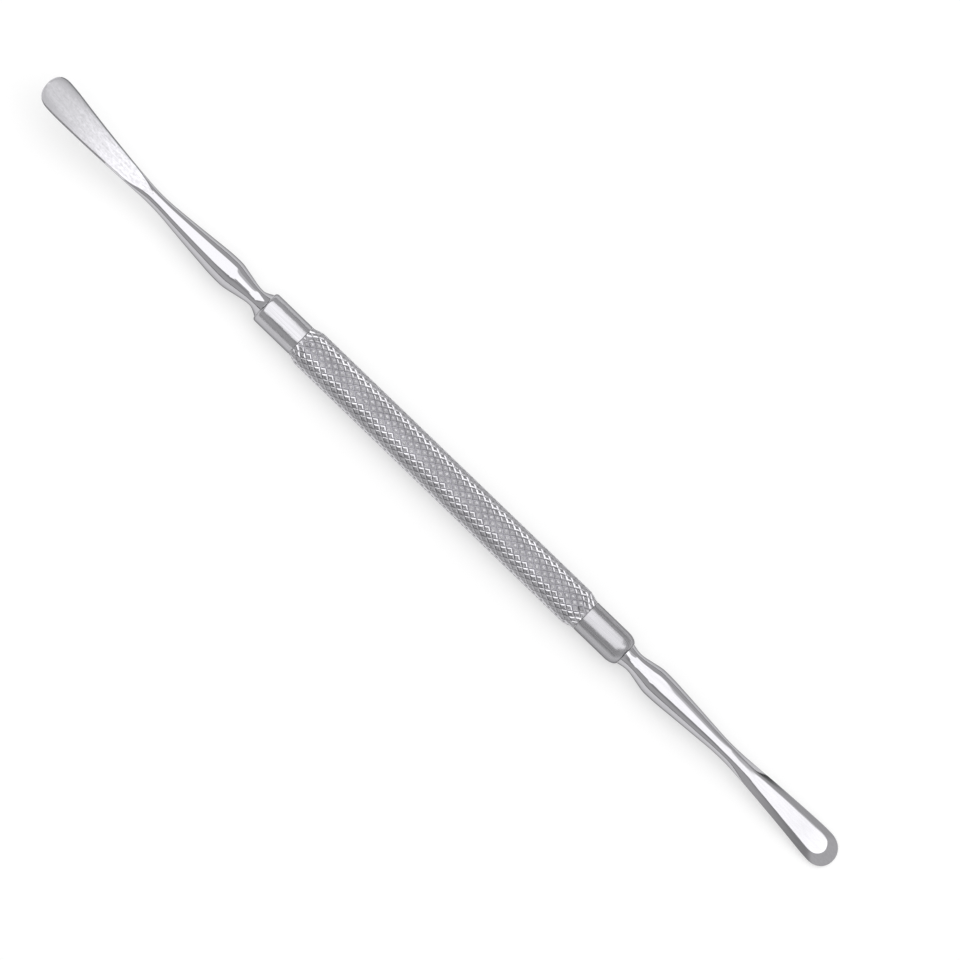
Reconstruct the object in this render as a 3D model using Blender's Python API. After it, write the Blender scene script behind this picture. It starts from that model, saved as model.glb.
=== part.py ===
"""A double-ended manicure spatula with a knurled hollow handle.

The frame: X runs along the handle, from the spatula end at -X to the pusher end at +X.
Z is up, and the tool lies on the plane Z = 0, on the underside of its grip and on the
tip of the pusher. X = 0 is at half of the tool's length and Y = 0 is on the handle's axis.
"""
import math

import bmesh
import bpy

MM = 0.001

# Fits between the pieces, how far a cutting solid runs past what it cuts, and how close
# two points lie that are one
SEAT_GAP = 0.04 * MM
FIT_GAP = 0.03 * MM
OVERRUN = 1.0 * MM
SAME_POINT = 0.0005 * MM

# Knurled grip: a tube with a knurl all along it, which is drawn in to a cone at both ends
GRIP_LENGTH = 57.3 * MM
GRIP_RADIUS = 3.07 * MM
GRIP_BORE_RADIUS = 2.0 * MM
GRIP_END_DROP = 0.45 * MM
GRIP_CONE_LENGTH = 1.9 * MM
KNURL_PITCH = 1.5 * MM
KNURL_DEPTH = 0.19 * MM
KNURL_STARTS = 17

# Collars: a turned socket at each end of the grip, with a spigot inside the grip
COLLAR_RADIUS = 2.59 * MM
SPIGOT_LENGTH = 5.0 * MM
SPIGOT_CHAMFER = 0.3 * MM
SOCKET_RADIUS = 1.15 * MM
SPATULA_COLLAR_LENGTH = 7.3 * MM
SPATULA_NOSE_LENGTH = 0.5 * MM
SPATULA_NOSE_DROP = 0.42 * MM
PUSHER_COLLAR_LENGTH = 8.1 * MM
PUSHER_NOSE_LENGTH = 1.85 * MM
PUSHER_NOSE_DROP = 0.86 * MM

# The tang of either blade, held in the socket of its collar
TANG_LENGTH = 8.0 * MM

# Spatula: places along it are measured from the face of its collar
SPATULA_LENGTH = 45.0 * MM
SPATULA_FOOT_RADIUS = 2.16 * MM
SPATULA_WAIST_AT = 1.6 * MM
SPATULA_WAIST_RADIUS = 1.44 * MM
SPATULA_BULB_AT = 7.1 * MM
SPATULA_BULB_RADIUS = 2.3 * MM
SPATULA_NECK_AT = 22.0 * MM
SPATULA_NECK_RADIUS = 1.18 * MM
SPATULA_HALF_WIDTH = 2.64 * MM
SPATULA_TIP_LENGTH = 2.6 * MM
SPATULA_BEND_AT = 10.5 * MM
SPATULA_CURL_AT = 31.5 * MM
SPATULA_CURL_LENGTH = 6.5 * MM
SPATULA_TIP_RISE = 5.45 * MM
SPATULA_FACE_AT = 22.8 * MM
SPATULA_RUN_IN = 5.6 * MM
SPATULA_ROOT_DEPTH = 0.62 * MM
SPATULA_TIP_DEPTH = 0.28 * MM
SPATULA_BEVEL = 0.22 * MM
SPATULA_BEVEL_DROP = 0.08 * MM
SPATULA_FACE_SHARE = 0.42
SPATULA_ROOT_SLOPE = 0.18

# Pusher: places along it are measured from the face of its collar
PUSHER_LENGTH = 42.5 * MM
PUSHER_FOOT_RADIUS = 1.84 * MM
PUSHER_WAIST_AT = 1.6 * MM
PUSHER_WAIST_RADIUS = 1.55 * MM
PUSHER_BULB_AT = 6.0 * MM
PUSHER_BULB_RADIUS = 2.24 * MM
PUSHER_NECK_AT = 20.6 * MM
PUSHER_NECK_RADIUS = 1.33 * MM
PUSHER_HALF_WIDTH = 2.7 * MM
PUSHER_TIP_LENGTH = 2.85 * MM
PUSHER_BEND_AT = 11.2 * MM
PUSHER_CURL_AT = 26.0 * MM
PUSHER_CURL_LENGTH = 14.0 * MM
PUSHER_FACE_AT = 21.0 * MM
PUSHER_RUN_IN = 6.5 * MM
PUSHER_ROOT_DEPTH = 0.72 * MM
PUSHER_TIP_DEPTH = 0.52 * MM
PUSHER_BEVEL = 0.1 * MM
PUSHER_BEVEL_DROP = 0.1 * MM
PUSHER_HOLLOW = 0.22 * MM
PUSHER_RIM = 1.12 * MM
PUSHER_RIM_END = 2.1 * MM
PUSHER_FACE_SHARE = 0.4
PUSHER_ROOT_SLOPE = 0.06

# Shares of a taper that are rounded at each of its ends, and the form of a rounded tip
BULB_SHARE = 0.25
TAPER_SHARE = 0.2
FLARE_SHARE = 0.12
RUN_IN_SHARE = 0.3
RIM_SOFT_SHARE = 0.12
FOOT_FLARE = 1.5
SPATULA_ROUNDNESS = 2.5
PUSHER_ROUNDNESS = 2.1
SPATULA_ROLL_SHARE = 0.3

# Facets round a turned piece, under a blade's back and up each flank, across its face, and
# along each stretch
ROUND_STEPS = 40
BACK_STEPS = 18
FLANK_STEPS = 4
FACE_STEPS = 4
FOOT_STEPS = 4
BULB_STEPS = 7
TAPER_STEPS = 9
LEAD_STEPS = 2
RUN_IN_STEPS = 9
BLADE_STEPS = 10
TIP_STEPS = 8

# Planes along the tool, and the height of the handle's axis
SPATULA_SIDE = SPATULA_LENGTH + SPATULA_COLLAR_LENGTH
PUSHER_SIDE = PUSHER_LENGTH + PUSHER_COLLAR_LENGTH
OVERALL_LENGTH = SPATULA_SIDE + GRIP_LENGTH + PUSHER_SIDE
GRIP_START = SPATULA_SIDE - OVERALL_LENGTH / 2
GRIP_END = GRIP_START + GRIP_LENGTH
AXIS_HEIGHT = GRIP_RADIUS
PUSHER_TIP_DROP = AXIS_HEIGHT - PUSHER_FACE_SHARE * PUSHER_TIP_DEPTH


def clear_scene():
    """Empty the scene."""
    for old in list(bpy.data.objects):
        bpy.data.objects.remove(old, do_unlink=True)


def steel(name, shade, roughness):
    """Bare steel, polished or brushed, with the faint violet tint of stainless steel."""
    material = bpy.data.materials.new(name)
    material.use_nodes = True
    shader = material.node_tree.nodes["Principled BSDF"]
    shader.inputs["Base Color"].default_value = (shade, shade * 0.99, shade * 1.02, 1.0)
    shader.inputs["Metallic"].default_value = 1.0
    shader.inputs["Roughness"].default_value = roughness
    return material


def new_object(name, mesh_data, material):
    """A closed, outward-facing object made from a bmesh."""
    bmesh.ops.remove_doubles(mesh_data, verts=mesh_data.verts[:], dist=SAME_POINT)
    bmesh.ops.recalc_face_normals(mesh_data, faces=mesh_data.faces[:])
    mesh = bpy.data.meshes.new(name)
    mesh_data.to_mesh(mesh)
    mesh_data.free()
    mesh.shade_smooth()
    mesh.set_sharp_from_angle(angle=math.radians(30))
    mesh.materials.append(material)
    piece = bpy.data.objects.new(name, mesh)
    bpy.context.collection.objects.link(piece)
    return piece


def skin(rings):
    """A bmesh skinned over closed rings of equally many points, capped at both ends."""
    data = bmesh.new()
    rows = [[data.verts.new(point) for point in ring] for ring in rings]
    count = len(rows[0])
    for row, following in zip(rows, rows[1:]):
        for index in range(count):
            after = (index + 1) % count
            data.faces.new((row[index], row[after], following[after], following[index]))
    data.faces.new(rows[0])
    data.faces.new(rows[-1])
    return data


def turned(outline):
    """A bmesh of a tube turned about X, from its closed outline of (x, radius) points."""
    data = bmesh.new()
    points = [data.verts.new((x, 0.0, radius)) for x, radius in outline]
    edges = [data.edges.new((a, b)) for a, b in zip(points, points[1:] + points[:1])]
    bmesh.ops.spin(data, geom=points + edges, cent=(0, 0, 0), axis=(1, 0, 0),
                   angle=2 * math.pi, steps=ROUND_STEPS)
    return data


def blend(x, start, end, first, last, share):
    """A straight taper from first to last, rounded over a share of its length at each end."""
    u = min(max((x - start) / (end - start), 0.0), 1.0)
    if u < share:
        part = u ** 2 / (2 * share)
    elif u <= 1 - share:
        part = u - share / 2
    else:
        part = 1 - share - (1 - u) ** 2 / (2 * share)
    return first + (last - first) * part / (1 - share)


def knurled_stock(length):
    """A bar with a diamond knurl: helical grooves run both ways and cross between the crests.

    The points lie on rings half a pitch apart. Crests and groove crossings take turns round
    each ring and along the bar, so each crest is the top of a pyramid on four crossings.
    Towards the ends of the grip, crests and grooves are drawn in together.
    """
    data = bmesh.new()
    last = 2 * math.ceil(length / KNURL_PITCH)
    points_round = 2 * KNURL_STARTS
    rings = []
    for column in range(last + 1):
        x = (column - last / 2) * KNURL_PITCH / 2
        into_cone = (abs(x) - GRIP_LENGTH / 2 + GRIP_CONE_LENGTH) / GRIP_CONE_LENGTH
        into_cone = min(max(into_cone, 0.0), 1.0)
        crest_radius = GRIP_RADIUS - GRIP_END_DROP * into_cone ** 2 * (3 - 2 * into_cone)
        ring = []
        for step in range(points_round):
            radius = crest_radius if (column + step) % 2 else crest_radius - KNURL_DEPTH
            angle = 2 * math.pi * step / points_round
            ring.append(data.verts.new((x, radius * math.sin(angle), radius * math.cos(angle))))
        rings.append(ring)
    for column in range(last + 1):
        for step in range(1 - column % 2, points_round, 2):
            crest = rings[column][step]
            sides = (rings[column][step - 1], rings[column][(step + 1) % points_round])
            for beside in (column - 1, column + 1):
                if 0 <= beside <= last:
                    for side in sides:
                        data.faces.new((crest, side, rings[beside][step]))
    data.faces.new(rings[0])
    data.faces.new(rings[-1])
    return data


def grip_blank():
    """The tube that the knurled bar is cut to: faced at both ends and bored through."""
    half = GRIP_LENGTH / 2
    clear_radius = GRIP_RADIUS + OVERRUN
    return turned([(-half, GRIP_BORE_RADIUS), (-half, clear_radius), (half, clear_radius),
                   (half, GRIP_BORE_RADIUS)])


def make_grip(material):
    """The handle tube: knurled bar, faced to length and bored through."""
    grip = new_object("knurled_grip", knurled_stock(GRIP_LENGTH + 2 * OVERRUN), material)
    blank = new_object("grip_blank", grip_blank(), material)
    blank.hide_render = True
    blank.display_type = "WIRE"
    for piece in (grip, blank):
        piece.location = ((GRIP_START + GRIP_END) / 2, 0, AXIS_HEIGHT)
    cut = grip.modifiers.new("faced_ends_and_bore", "BOOLEAN")
    cut.operation = "INTERSECT"
    cut.solver = "EXACT"
    cut.object = blank
    return grip


def make_collar(name, length, nose_length, nose_drop, material):
    """A turned socket: spigot, seat, barrel and a rounded nose. X runs outward from the grip's end."""
    spigot_radius = GRIP_BORE_RADIUS - FIT_GAP
    outline = [
        (-SPIGOT_LENGTH, SOCKET_RADIUS),
        (-SPIGOT_LENGTH, spigot_radius - SPIGOT_CHAMFER),
        (-SPIGOT_LENGTH + SPIGOT_CHAMFER, spigot_radius),
        (SEAT_GAP, spigot_radius),
        (SEAT_GAP, COLLAR_RADIUS),
    ]
    for step in range(TIP_STEPS + 1):
        angle = math.pi / 2 * step / TIP_STEPS
        along = length - nose_length * (1 - math.sin(angle))
        outline.append((along, COLLAR_RADIUS - nose_drop * (1 - math.cos(angle))))
    outline.append((length, SOCKET_RADIUS))
    return new_object(name, turned(outline), material)


class Blade:
    """The form of one blade, in one piece with its shank and tang.

    In its own frame X runs outward from the face of its collar, along the handle's axis,
    and Z points to the side that the blade curls to, which has the ground face.
    """

    def __init__(self, **sizes):
        self.__dict__.update(sizes)
        self.tip_at = self.length - self.tip_length
        self.face_full_at = self.face_at + self.run_in
        self.curl_end = self.curl_at + self.curl_length
        bend = self.curl_at - self.bend_at
        straight = self.length - self.curl_end
        rise_left = self.tip_rise - self.root_slope * (bend + self.curl_length) / 2
        self.tip_slope = rise_left / (self.curl_length / 2 + straight)

    def rounding(self, reach):
        """The outline of the rounded tip: 1 where the tip begins and 0 at its end."""
        reach = min(max(reach, 0.0), 1.0)
        return (1 - reach ** self.roundness) ** (1 / self.roundness)

    def half_width(self, x):
        """Half of the width of the outline."""
        if x < self.waist_at:
            foot = 1 - x / self.waist_at
            return self.waist_radius + (self.foot_radius - self.waist_radius) * foot ** FOOT_FLARE
        if x < self.bulb_at:
            return blend(x, self.waist_at, self.bulb_at, self.waist_radius, self.bulb_radius, BULB_SHARE)
        if x < self.neck_at:
            return blend(x, self.bulb_at, self.neck_at, self.bulb_radius, self.neck_radius, TAPER_SHARE)
        if x < self.tip_at:
            return blend(x, self.neck_at, self.tip_at, self.neck_radius, self.widest, FLARE_SHARE)
        return self.widest * self.rounding((x - self.tip_at) / self.tip_length)

    def plain_depth(self, x):
        """How far the round back lies from the spine, before its tip is rolled thin."""
        if x <= self.neck_at:
            return self.half_width(x)
        root = self.face_full_at
        if x < root:
            return blend(x, self.neck_at, root, self.neck_radius, self.root_depth, RUN_IN_SHARE)
        return self.root_depth + (self.tip_depth - self.root_depth) * (x - root) / (self.length - root)

    def depth(self, x):
        """How far the round back lies from the spine."""
        if x < self.tip_at:
            return self.plain_depth(x)
        return self.plain_depth(x) * (1 - self.roll_share * (1 - self.half_width(x) / self.widest))

    def spine(self, x):
        """Height over the handle's axis: the shank bends slowly, the blade curls, its end is straight."""
        bend = self.curl_at - self.bend_at
        bent = min(max(x - self.bend_at, 0.0), bend)
        curled = min(max(x - self.curl_at, 0.0), self.curl_length)
        straight = max(x - self.curl_end, 0.0)
        curl = (self.tip_slope - self.root_slope) / self.curl_length
        rise = self.root_slope * (bent ** 2 / (2 * bend) + curled)
        return rise + curl * curled ** 2 / 2 + self.tip_slope * straight

    def face(self, x):
        """Height of the ground face over the spine, which is the shank's own where it isn't ground."""
        left = blend(x, self.face_at, self.face_full_at, 1, self.face_share, RUN_IN_SHARE)
        return self.plain_depth(x) * left

    def hollow(self, x):
        """How deep the middle of the ground face is hollowed."""
        run = (x - self.face_full_at) / (self.tip_at - self.face_full_at)
        return self.hollow_depth * math.sin(math.pi * min(max(run, 0.0), 1.0))

    def reach(self, along, across):
        """How far out a point lies, where 1 is the outline of a rounded tip."""
        return (along ** self.roundness + across ** self.roundness) ** (1 / self.roundness)

    def rolled(self, x, across):
        """How far the back falls to its rolled rim: 0 where the rim begins and 1 at the edge."""
        half_width = self.half_width(min(x, self.tip_at))
        inner = max(half_width - self.rim, self.rim / 2)
        inner_tip = self.length - self.rim_end
        past_inner = self.reach(max(x - inner_tip + inner, 0.0) / inner, across / inner) - 1
        if past_inner <= 0:
            return 0.0
        outward = self.reach(max(x - self.tip_at, 0.0) / self.tip_length, across / half_width)
        place = past_inner / (past_inner + max(1 - outward, 0.0) * half_width / inner)
        soft = RIM_SOFT_SHARE
        return (math.hypot(place, soft) - soft) / (math.hypot(1, soft) - soft)

    def back(self, x, angle):
        """Height of the back at an angle round it: an ellipse, or a crown with a rolled rim."""
        height = math.sin(angle)
        if self.rim and height < 0:
            crown = self.rolled(x, abs(self.half_width(x) * math.cos(angle))) - 1
            height += (crown - height) * blend(x, self.neck_at, self.face_full_at, 0, 1, RUN_IN_SHARE)
        return self.depth(x) * height

    def section(self, x):
        """The cross-section at x: round the back from edge to edge, then across the face."""
        grown = min(max((x - self.face_at) / self.run_in, 0.0), 1.0)
        height = self.face(x)
        corner = math.asin(min((height - self.bevel_drop * grown) / self.depth(x), 1))
        points = [(self.half_width(x) * math.cos(angle), self.back(x, angle)) for angle in around(corner)]
        across = max(self.half_width(x) * math.cos(corner) - self.bevel * grown, 0.0)
        if x > self.tip_at:
            inner_length = self.tip_length - self.bevel
            across = min(across, (self.widest - self.bevel) * self.rounding((x - self.tip_at) / inner_length))
        fall = self.bevel_drop * max(x - self.length + self.bevel, 0.0) / self.bevel
        for step in range(FACE_STEPS + 1):
            share = 2 * step / FACE_STEPS - 1
            points.append((across * share, height - fall - self.hollow(x) * (1 - share ** 2)))
        return [(x, y, z + self.spine(x)) for y, z in points]

    def stations(self):
        """Places along the blade where its form is set, closer together where it turns fast."""
        stretches = (
            (SEAT_GAP, self.waist_at, FOOT_STEPS), (self.waist_at, self.bulb_at, BULB_STEPS),
            (self.bulb_at, self.neck_at, TAPER_STEPS), (self.neck_at, self.face_at, LEAD_STEPS),
            (self.face_at, self.face_full_at, RUN_IN_STEPS),
            (self.face_full_at, self.tip_at, BLADE_STEPS),
        )
        places = []
        for start, end, steps in stretches:
            places += [start + (end - start) * step / steps for step in range(steps)]
        places += [self.tip_at + self.tip_length * math.sin(math.pi / 2 * step / TIP_STEPS)
                   for step in range(TIP_STEPS + 1)]
        return places

    def tang(self, x):
        """The round cross-section of the tang at x, with as many points as the blade's own."""
        radius = SOCKET_RADIUS - FIT_GAP
        angles = around(math.pi / 2) + [math.pi / 2] * (FACE_STEPS + 1)
        return [(x, radius * math.cos(angle), radius * math.sin(angle)) for angle in angles]

    def solid(self):
        """The whole piece, from the end of the tang to the tip."""
        rings = [self.tang(-TANG_LENGTH), self.tang(SEAT_GAP)]
        rings += [self.section(x) for x in self.stations()]
        return skin(rings)


def around(corner):
    """Angles round a section's back, between its corners: down one flank, under, up the other."""
    flank = [corner * (1 - step / FLANK_STEPS) for step in range(FLANK_STEPS)]
    under = [-math.pi * step / BACK_STEPS for step in range(BACK_STEPS + 1)]
    return flank + under + [-math.pi - angle for angle in reversed(flank)]


def spatula_form():
    """The spatula: a flat paddle with a ground face, which curls up."""
    return Blade(
        length=SPATULA_LENGTH, foot_radius=SPATULA_FOOT_RADIUS,
        waist_at=SPATULA_WAIST_AT, waist_radius=SPATULA_WAIST_RADIUS,
        bulb_at=SPATULA_BULB_AT, bulb_radius=SPATULA_BULB_RADIUS,
        neck_at=SPATULA_NECK_AT, neck_radius=SPATULA_NECK_RADIUS,
        widest=SPATULA_HALF_WIDTH, tip_length=SPATULA_TIP_LENGTH, roundness=SPATULA_ROUNDNESS,
        bend_at=SPATULA_BEND_AT, face_at=SPATULA_FACE_AT,
        run_in=SPATULA_RUN_IN, curl_at=SPATULA_CURL_AT, curl_length=SPATULA_CURL_LENGTH,
        root_slope=SPATULA_ROOT_SLOPE, tip_rise=SPATULA_TIP_RISE,
        face_share=SPATULA_FACE_SHARE, root_depth=SPATULA_ROOT_DEPTH,
        tip_depth=SPATULA_TIP_DEPTH, roll_share=SPATULA_ROLL_SHARE,
        bevel=SPATULA_BEVEL, bevel_drop=SPATULA_BEVEL_DROP, hollow_depth=0.0, rim=0.0,
    )


def pusher_form():
    """The pusher: a curled blade with a crowned back and a hollow ground underside."""
    return Blade(
        length=PUSHER_LENGTH, foot_radius=PUSHER_FOOT_RADIUS,
        waist_at=PUSHER_WAIST_AT, waist_radius=PUSHER_WAIST_RADIUS,
        bulb_at=PUSHER_BULB_AT, bulb_radius=PUSHER_BULB_RADIUS,
        neck_at=PUSHER_NECK_AT, neck_radius=PUSHER_NECK_RADIUS,
        widest=PUSHER_HALF_WIDTH, tip_length=PUSHER_TIP_LENGTH, roundness=PUSHER_ROUNDNESS,
        bend_at=PUSHER_BEND_AT, face_at=PUSHER_FACE_AT,
        run_in=PUSHER_RUN_IN, curl_at=PUSHER_CURL_AT, curl_length=PUSHER_CURL_LENGTH,
        root_slope=PUSHER_ROOT_SLOPE, tip_rise=PUSHER_TIP_DROP,
        face_share=PUSHER_FACE_SHARE, root_depth=PUSHER_ROOT_DEPTH,
        tip_depth=PUSHER_TIP_DEPTH, roll_share=0.0,
        bevel=PUSHER_BEVEL, bevel_drop=PUSHER_BEVEL_DROP, hollow_depth=PUSHER_HOLLOW,
        rim=PUSHER_RIM, rim_end=PUSHER_RIM_END,
    )


def seat_outward(piece, x, spatula_side):
    """Place a piece at x on the axis: turned about Z on the spatula side."""
    piece.location = (x, 0, AXIS_HEIGHT)
    if spatula_side:
        piece.rotation_euler = (0, 0, math.pi)


def main():
    clear_scene()
    knurl_steel = steel("knurled_steel", 0.62, 0.32)
    turned_steel = steel("turned_steel", 0.66, 0.18)
    brushed_steel = steel("brushed_steel", 0.64, 0.3)
    polished_steel = steel("polished_steel", 0.68, 0.12)

    make_grip(knurl_steel)
    spatula_collar = make_collar("spatula_collar", SPATULA_COLLAR_LENGTH, SPATULA_NOSE_LENGTH,
                                 SPATULA_NOSE_DROP, turned_steel)
    pusher_collar = make_collar("pusher_collar", PUSHER_COLLAR_LENGTH, PUSHER_NOSE_LENGTH,
                                PUSHER_NOSE_DROP, turned_steel)
    seat_outward(spatula_collar, GRIP_START, True)
    seat_outward(pusher_collar, GRIP_END, False)

    spatula = new_object("spatula_blade", spatula_form().solid(), brushed_steel)
    seat_outward(spatula, GRIP_START - SPATULA_COLLAR_LENGTH, True)
    pusher = new_object("pusher_blade", pusher_form().solid(), polished_steel)
    seat_outward(pusher, GRIP_END + PUSHER_COLLAR_LENGTH, False)
    pusher.rotation_euler = (math.pi, 0, 0)


main()
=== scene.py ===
"""Dresses the double-ended manicure spatula: a knurled grip, two turned collars and two blades.

Lengths are in metres and angles in radians. X runs along the handle, from the spatula end to
the pusher end, and Z is up. The tool lies on the floor at Z = 0.
"""
import math

import bmesh
import bpy
from bpy.props import FloatProperty, FloatVectorProperty, IntProperty, PointerProperty
from mathutils import Matrix, Quaternion, Vector


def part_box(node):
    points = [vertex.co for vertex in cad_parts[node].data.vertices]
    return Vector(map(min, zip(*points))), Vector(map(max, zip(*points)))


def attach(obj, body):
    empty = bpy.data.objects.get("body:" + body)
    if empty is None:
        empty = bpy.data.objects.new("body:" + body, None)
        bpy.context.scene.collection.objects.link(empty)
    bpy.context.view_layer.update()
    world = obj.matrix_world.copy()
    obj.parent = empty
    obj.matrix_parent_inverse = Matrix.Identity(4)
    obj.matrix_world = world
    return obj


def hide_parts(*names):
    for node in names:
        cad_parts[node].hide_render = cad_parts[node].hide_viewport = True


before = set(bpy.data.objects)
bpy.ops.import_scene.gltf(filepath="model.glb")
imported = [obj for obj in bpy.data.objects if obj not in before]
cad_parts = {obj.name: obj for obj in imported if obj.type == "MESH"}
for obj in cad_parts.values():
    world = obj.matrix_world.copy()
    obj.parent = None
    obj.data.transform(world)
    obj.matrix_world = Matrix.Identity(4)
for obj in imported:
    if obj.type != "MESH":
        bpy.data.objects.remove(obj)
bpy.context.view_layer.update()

bl_info = {
    "name": "Manicure Spatula",
    "version": (1, 0, 0),
    "blender": (4, 5, 0),
    "location": "View3D > Sidebar > Spatula",
    "description": "Dresses a double-ended manicure spatula with a knurled grip",
    "category": "Object",
}

MM = 0.001
GRIP_LOW, GRIP_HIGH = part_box("knurled_grip")

# The handle's axis, the grip's ends and radius, and the blades' tips, all read from the frame
AXIS_HEIGHT = (GRIP_LOW.z + GRIP_HIGH.z) / 2
GRIP_START, GRIP_END, GRIP_RADIUS = GRIP_LOW.x, GRIP_HIGH.x, GRIP_HIGH.y
SPATULA_TIP, PUSHER_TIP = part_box("spatula_blade")[0].x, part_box("pusher_blade")[1].x

# Fits between the pieces, how far a blank runs past its cut, how close two points lie that
# are one, and the angle from which an edge is sharp
SEAT_GAP = 0.04 * MM
FIT_GAP = 0.03 * MM
OVERRUN = 1.0 * MM
SAME_POINT = 0.0005 * MM
SHARP_ANGLE = math.radians(28)

# Facets round the turned pieces and their noses, round a blade's back, up its flanks and
# across its face, and along each stretch of a blade
ROUND_STEPS = 144
NOSE_STEPS = 10
BACK_STEPS = 48
FLANK_STEPS = 8
FACE_STEPS = 12
FOOT_STEPS = 12
BULB_STEPS = 20
TAPER_STEPS = 30
LEAD_STEPS = 6
RUN_IN_STEPS = 28
BLADE_STEPS = 34
TIP_STEPS = 22


def length(name, description, millimetres):
    """A length that a user can change."""
    return FloatProperty(name=name, description=description, default=millimetres * MM,
                         min=0.0, precision=6, unit="LENGTH")


def share(name, description, default):
    """A part of a whole, or the strength of a finish, from 0 to 1."""
    return FloatProperty(name=name, description=description, default=default,
                         min=0.0, max=1.0, subtype="FACTOR")


def shade(name, description, default):
    """A colour that a user can change."""
    return FloatVectorProperty(name=name, description=description, default=default,
                               min=0.0, max=1.0, subtype="COLOR")


def number(name, description, default):
    """A plain number that a user can change."""
    return FloatProperty(name=name, description=description, default=default, min=0.0)


class GripSizes(bpy.types.PropertyGroup):
    """The knurled tube."""
    bore_radius: length("Bore radius", "Radius of the bore", 2.0)
    end_length: length("End length", "Length over which each end is drawn in", 1.9)
    pitch: length("Pitch", "Distance between crests along the handle", 1.5)
    end_drop: length("End drop", "How far the knurl draws in at each end", 0.45)
    depth: length("Depth", "Depth of the grooves between the crests", 0.19)
    starts: IntProperty(name="Starts", description="Crests round the handle", default=17, min=4)
    crest: share("Crest", "Width of the flat on each crest, as a share of the tooth", 0.4)
    curve: share("Curve", "How much steeper a tooth is at its foot than at its crest", 0.33)


class CollarSizes(bpy.types.PropertyGroup):
    """The two turned sockets between the grip and the blades."""
    radius: length("Radius", "Radius of both collars", 2.59)
    edge: length("Edge", "Rounding of the edge beside the grip", 0.1)
    spigot_length: length("Spigot length", "How far a collar reaches into the grip", 5.0)
    spigot_chamfer: length("Spigot chamfer", "Chamfer at the spigot's inner end", 0.3)
    socket_radius: length("Socket radius", "Radius of the hole for the tang", 1.15)
    spatula_length: length("Spatula collar", "Length of the collar at the spatula", 7.3)
    spatula_nose: length("Spatula nose", "Length of its rounded nose", 0.5)
    spatula_drop: length("Spatula nose drop", "How far its nose is rounded inwards", 0.42)
    pusher_length: length("Pusher collar", "Length of the collar at the pusher", 8.1)
    pusher_nose: length("Pusher nose", "Length of its rounded nose", 1.85)
    pusher_drop: length("Pusher nose drop", "How far its nose is rounded inwards", 0.86)


# The sizes of a blade, from the face of its collar to its tip: the kind, label and meaning
# of each, then its values on the spatula and on the pusher
BLADE_SIZES = (
    ("foot_radius", length, "Foot radius", "Radius against the collar", 2.16, 1.84),
    ("waist_at", length, "Waist at", "Place of the waist", 1.6, 1.6),
    ("waist_radius", length, "Waist radius", "Radius of the waist", 1.44, 1.55),
    ("bulb_at", length, "Bulb at", "Place of the bulb", 7.1, 6.0),
    ("bulb_radius", length, "Bulb radius", "Radius of the bulb", 2.3, 2.24),
    ("neck_at", length, "Neck at", "Place of the neck", 22.0, 20.6),
    ("neck_radius", length, "Neck radius", "Radius of the neck", 1.18, 1.33),
    ("widest", length, "Half width", "Half of the blade's width", 2.64, 2.7),
    ("tip_length", length, "Tip length", "Length of the rounded tip", 2.6, 2.85),
    ("bend_at", length, "Bend at", "Where the shank starts to bend", 10.5, 11.2),
    ("curl_at", length, "Curl at", "Where the blade starts to curl", 31.5, 26.0),
    ("curl_length", length, "Curl length", "Length of the curl", 6.5, 14.0),
    ("tip_rise", length, "Tip rise", "How far the tip curls from the axis", 5.45, 2.862),
    ("face_at", length, "Face at", "Where the ground face starts", 22.8, 21.0),
    ("run_in", length, "Run in", "Length over which the face is ground in", 5.6, 6.5),
    ("face_share", share, "Face height",
     "Height of the face over the spine, as a share of the depth", 0.42, 0.4),
    ("root_depth", length, "Root depth", "Depth of the back at the blade's root", 0.62, 0.72),
    ("tip_depth", length, "Tip depth", "Depth of the back at the tip", 0.28, 0.52),
    ("bevel", length, "Bevel", "Width of the bevel along the edge", 0.22, 0.1),
    ("bevel_drop", length, "Bevel drop", "How far the bevel falls to the edge", 0.08, 0.1),
    ("rim", length, "Rim", "Width of the rim rolled round the back, or none", 0.0, 1.12),
    ("rim_end", length, "Rim end", "Width of the rim at the tip", 0.0, 2.1),
    ("hollow_depth", length, "Hollow", "Depth of the hollow in the face", 0.0, 0.22),
    ("root_slope", number, "Root slope", "Slope of the shank where the curl starts", 0.18, 0.06),
    ("roundness", number, "Roundness", "Fullness of the rounded tip", 2.5, 2.1),
    ("roll_share", share, "Roll", "How far the back thins towards the rounded tip", 0.3, 0.0),
)


def blade_sizes(blade):
    """The properties of one blade: 0 for the spatula and 1 for the pusher."""
    return {key: kind(label, meaning, values[blade])
            for key, kind, label, meaning, *values in BLADE_SIZES}


class SpatulaSizes(bpy.types.PropertyGroup):
    """The flat spatula, from the face of its collar to its tip."""
    __annotations__ = blade_sizes(0)


class PusherSizes(bpy.types.PropertyGroup):
    """The curled pusher, from the face of its collar to its tip."""
    __annotations__ = blade_sizes(1)


class SteelFinish(bpy.types.PropertyGroup):
    """The colour of the steel, and how smooth each finish leaves it."""
    steel: shade("Steel", "Colour of the clean steel", (0.54, 0.534, 0.558))
    # The groove colour is grime with painted shade, laid in the knurl's grooves and bore
    groove: shade("Groove", "Colour at the bottom of the knurl", (0.26, 0.256, 0.272))
    edge_tint: share("Edge tint", "Brightness of the steel seen at a grazing angle", 0.3)
    knurl_roughness: share("Knurl", "Roughness of the knurl's facets", 0.13)
    turned_roughness: share("Turned", "Roughness of the spatula's collar", 0.21)
    satin_roughness: share("Satin", "Roughness of the pusher's collar", 0.27)
    ground_roughness: share("Ground", "Roughness of the spatula's ground face", 0.42)
    polished_roughness: share("Polished", "Roughness of the shanks and the pusher", 0.08)


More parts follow.
